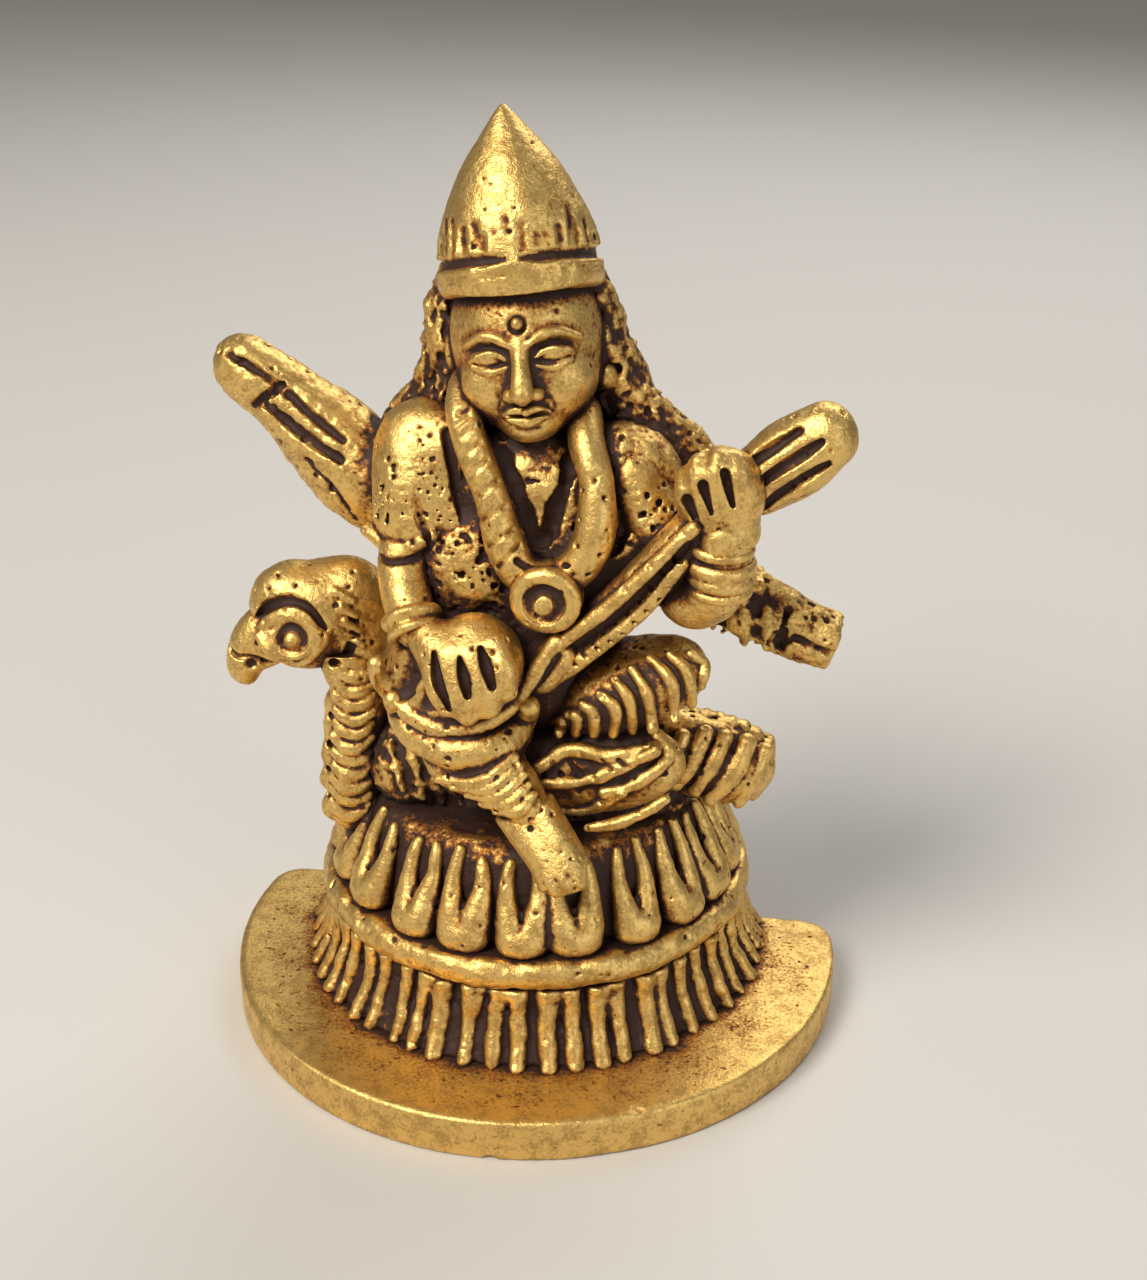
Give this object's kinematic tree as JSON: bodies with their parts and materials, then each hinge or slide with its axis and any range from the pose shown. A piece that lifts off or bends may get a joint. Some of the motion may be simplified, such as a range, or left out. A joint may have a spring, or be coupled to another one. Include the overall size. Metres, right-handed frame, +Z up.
{
  "type": "shrine figurine",
  "caption": "Cast brass shrine figure: a crowned four-armed lute player seated on a bird, on a lotus, a fluted plinth and a flat D-shaped plate.",
  "frame": {"origin": "middle of the plate's underside, on the surface that the figure stands on", "axes": "+Z up through the crown; -Y is where the figure faces; +X is the figure's own left"},
  "size_m": [0.045, 0.0278, 0.0653],
  "materials": {
    "aged_brass": "buffed cast brass with dark lacquer left in the hollows",
    "filed_brass": "filed satin rim and a speckled, lightly tarnished top",
    "dark_brass": "rough cast brass, mostly under dark lacquer"
  },
  "bodies": {
    "root": {"base_plate": "filed_brass", "fluted_plinth": "aged_brass", "plinth_ring": "aged_brass", "lotus_seat": "aged_brass", "lotus_petals": "aged_brass", "bird_body": "dark_brass", "bird_neck": "aged_brass", "bird_head": "aged_brass", "bird_beak": "aged_brass", "bird_wing": "aged_brass", "bird_tail": "aged_brass", "hips": "aged_brass", "torso": "aged_brass", "left_leg": "aged_brass", "right_leg": "aged_brass", "right_foot": "aged_brass", "head": "aged_brass", "crown_band": "aged_brass", "crown": "aged_brass", "hair_back": "dark_brass", "garland": "aged_brass", "pendant": "aged_brass", "right_front_arm": "aged_brass", "right_bangle": "aged_brass", "right_front_hand": "aged_brass", "left_front_arm": "aged_brass", "left_bangles": "aged_brass", "left_front_hand": "aged_brass", "right_back_arm": "aged_brass", "left_back_arm": "dark_brass", "veena_bowl": "aged_brass", "veena_neck_rails": "aged_brass", "veena_head": "aged_brass"}
  },
  "joints": []
}
